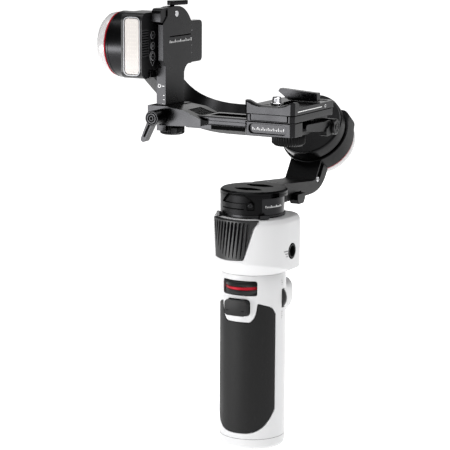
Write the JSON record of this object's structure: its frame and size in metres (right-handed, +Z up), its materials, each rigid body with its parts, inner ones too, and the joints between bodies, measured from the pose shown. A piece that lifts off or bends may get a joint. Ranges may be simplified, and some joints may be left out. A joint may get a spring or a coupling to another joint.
{
  "type": "gimbal stabilizer",
  "caption": "Hand-held three-axis camera stabilizer with a round gripped handle, leaning roll arm, fill light on the tilt motor, and a sliding quick-release camera seat.",
  "frame": {"origin": "centre of the handle's base, at the mouth of its tripod thread", "axes": "+Z up along the handle and pan axis, -Y the front with the trigger, +X the side with the mode dial; the tilt axis runs along X"},
  "size_m": [0.1585, 0.1486, 0.292],
  "materials": {
    "white_shell": "satin moulded plastic",
    "pearl_cap": "pearl white",
    "grip": "fine leather grain",
    "black_plastic": "satin black",
    "arm_metal": "black anodised, satin",
    "red_trim": "red anodised",
    "steel": "bright",
    "brass": "plain",
    "diffuser": "warm white, milky",
    "circuit_board": "solder mask",
    "display_glass": "dark window"
  },
  "bodies": {
    "handle": {"handle_shell": "white_shell", "grip_sleeve": "grip", "base_cap": "black_plastic", "base_thread_insert": "brass", "battery_pack": "black_plastic", "inner_frame": "black_plastic", "control_board": "circuit_board", "usb_c_port": "steel", "display_window": "display_glass", "front_dial_axle": "steel", "trigger_spring": "steel", "head_shell": "white_shell", "vent_grille": "black_plastic", "side_thread_insert": "black_plastic", "pan_motor_housing": "arm_metal"},
    "front_dial": {"front_dial": "black_plastic", "front_dial_ring": "red_trim"},
    "trigger": {"trigger_button": "black_plastic"},
    "mode_dial": {"mode_dial": "black_plastic"},
    "joystick_yoke": {"joystick_yoke": "steel"},
    "joystick_cap": {"joystick_cap": "black_plastic"},
    "record_button": {"record_button": "red_trim"},
    "power_button": {"power_button": "black_plastic"},
    "pan_arm": {"pan_arm": "arm_metal", "pan_shaft": "steel", "pan_arm_screw": "steel", "roll_motor_housing": "arm_metal", "roll_motor_ring": "red_trim", "roll_motor_cap": "pearl_cap"},
    "pan_axis_lock": {"pan_axis_lock": "arm_metal"},
    "roll_axis_lock": {"roll_axis_lock": "arm_metal"},
    "roll_arm": {"roll_arm": "arm_metal", "roll_shaft": "steel", "tilt_motor_housing": "arm_metal", "tilt_motor_ring": "red_trim", "tilt_motor_cap": "pearl_cap", "fill_light_body": "black_plastic", "fill_light_bezel": "steel", "fill_light_diffuser": "diffuser"},
    "light_button_1": {"light_button_1": "black_plastic"},
    "light_button_2": {"light_button_2": "black_plastic"},
    "light_button_3": {"light_button_3": "black_plastic"},
    "tilt_axis_lock": {"tilt_axis_lock": "arm_metal"},
    "tilt_arm": {"tilt_shaft": "steel", "tilt_rail": "arm_metal"},
    "vertical_plate": {"vertical_plate": "arm_metal", "plate_screw": "steel", "rail_clamp": "arm_metal", "plate_foot": "arm_metal"},
    "clamp_lever": {"clamp_lever": "arm_metal"},
    "cross_arm": {"cross_arm": "arm_metal"},
    "height_lever": {"height_lever": "arm_metal"},
    "qr_base": {"qr_base": "arm_metal", "qr_clamp": "arm_metal"},
    "qr_base_knob": {"qr_base_knob": "arm_metal"},
    "qr_lever": {"qr_lever": "arm_metal"},
    "qr_plate": {"qr_plate": "arm_metal"},
    "camera_screw": {"camera_screw": "steel"},
    "backstop": {"backstop": "arm_metal"}
  },
  "joints": [
    {"name": "pan", "type": "hinge", "parent": "handle", "child": "pan_arm", "pos_m": [0, 0, 0.17], "axis": [0, 0, 1], "continuous": true},
    {"name": "roll", "type": "hinge", "parent": "pan_arm", "child": "roll_arm", "pos_m": [0, 0, 0.262], "axis": [0, 0.8192, -0.5736], "range_deg": [-50, 120]},
    {"name": "tilt", "type": "hinge", "parent": "roll_arm", "child": "tilt_arm", "pos_m": [0, 0, 0.262], "axis": [1, 0, 0], "range_deg": [-80, 90]},
    {"name": "plate_fore_aft", "type": "slide", "parent": "tilt_arm", "child": "vertical_plate", "axis": [0, 1, 0], "range_m": [-0.006, 0.012]},
    {"name": "clamp_lever_turn", "type": "hinge", "parent": "vertical_plate", "child": "clamp_lever", "pos_m": [-0.0646, 0.004, 0.2896], "axis": [0, 0, 1], "range_deg": [-20, 70]},
    {"name": "cross_arm_height", "type": "slide", "parent": "vertical_plate", "child": "cross_arm", "axis": [0, 0, 1], "range_m": [0, 0.015]},
    {"name": "height_lever_turn", "type": "hinge", "parent": "cross_arm", "child": "height_lever", "pos_m": [-0.0615, -0.02, 0.217], "axis": [0, 1, 0], "range_deg": [-60, 90]},
    {"name": "qr_base_side", "type": "slide", "parent": "cross_arm", "child": "qr_base", "axis": [1, 0, 0], "range_m": [0, 0.007]},
    {"name": "qr_base_knob_turn", "type": "hinge", "parent": "qr_base", "child": "qr_base_knob", "pos_m": [0.025, 0, 0.206], "axis": [0, 0, 1], "continuous": true},
    {"name": "qr_lever_turn", "type": "hinge", "parent": "qr_base", "child": "qr_lever", "pos_m": [0.0413, 0.0275, 0.2127], "axis": [1, 0, 0], "range_deg": [0, 55]},
    {"name": "qr_plate_fore_aft", "type": "slide", "parent": "qr_base", "child": "qr_plate", "axis": [0, 1, 0], "range_m": [-0.01, 0.01]},
    {"name": "camera_screw_turn", "type": "hinge", "parent": "qr_plate", "child": "camera_screw", "pos_m": [0.0245, -0.016, 0.2302], "axis": [0, 0, 1], "continuous": true},
    {"name": "backstop_fore_aft", "type": "slide", "parent": "qr_plate", "child": "backstop", "axis": [0, 1, 0], "range_m": [-0.008, 0.008]},
    {"name": "front_dial_turn", "type": "hinge", "parent": "handle", "child": "front_dial", "pos_m": [0, -0.0111, 0.1092], "axis": [0, 0, 1], "continuous": true},
    {"name": "trigger_press", "type": "slide", "parent": "handle", "child": "trigger", "axis": [0, 1, 0], "range_m": [0, 0.002], "stiffness_N_per_m": 500, "deforming": ["trigger_spring"]},
    {"name": "mode_dial_turn", "type": "hinge", "parent": "handle", "child": "mode_dial", "pos_m": [0.0151, 0.0013, 0.1007], "axis": [0, 1, 0], "continuous": true},
    {"name": "joystick_up_down", "type": "hinge", "parent": "handle", "child": "joystick_yoke", "pos_m": [0, 0.0211, 0.101], "axis": [1, 0, 0], "range_deg": [-12, 12], "stiffness_Nm_per_rad": 0.05},
    {"name": "joystick_side", "type": "hinge", "parent": "joystick_yoke", "child": "joystick_cap", "pos_m": [0, 0.0211, 0.101], "axis": [0, 0, 1], "range_deg": [-12, 12], "stiffness_Nm_per_rad": 0.05},
    {"name": "record_press", "type": "slide", "parent": "handle", "child": "record_button", "axis": [0, -1, 0], "range_m": [0, 0.0008], "stiffness_N_per_m": 500},
    {"name": "power_press", "type": "slide", "parent": "handle", "child": "power_button", "axis": [0, -1, 0], "range_m": [0, 0.0008], "stiffness_N_per_m": 500},
    {"name": "light_press_1", "type": "slide", "parent": "roll_arm", "child": "light_button_1", "axis": [-1, 0, 0], "range_m": [0, 0.0007], "stiffness_N_per_m": 500},
    {"name": "light_press_2", "type": "slide", "parent": "roll_arm", "child": "light_button_2", "axis": [-1, 0, 0], "range_m": [0, 0.0007], "stiffness_N_per_m": 500},
    {"name": "light_press_3", "type": "slide", "parent": "roll_arm", "child": "light_button_3", "axis": [-1, 0, 0], "range_m": [0, 0.0007], "stiffness_N_per_m": 500},
    {"name": "pan_lock_slide", "type": "slide", "parent": "pan_arm", "child": "pan_axis_lock", "axis": [0, 0, -1], "range_m": [0, 0.0015]},
    {"name": "roll_lock_slide", "type": "slide", "parent": "pan_arm", "child": "roll_axis_lock", "axis": [0, 1, 0], "range_m": [-0.0015, 0.0015]},
    {"name": "tilt_lock_slide", "type": "slide", "parent": "roll_arm", "child": "tilt_axis_lock", "axis": [0, 1, 0], "range_m": [0, 0.003]}
  ]
}
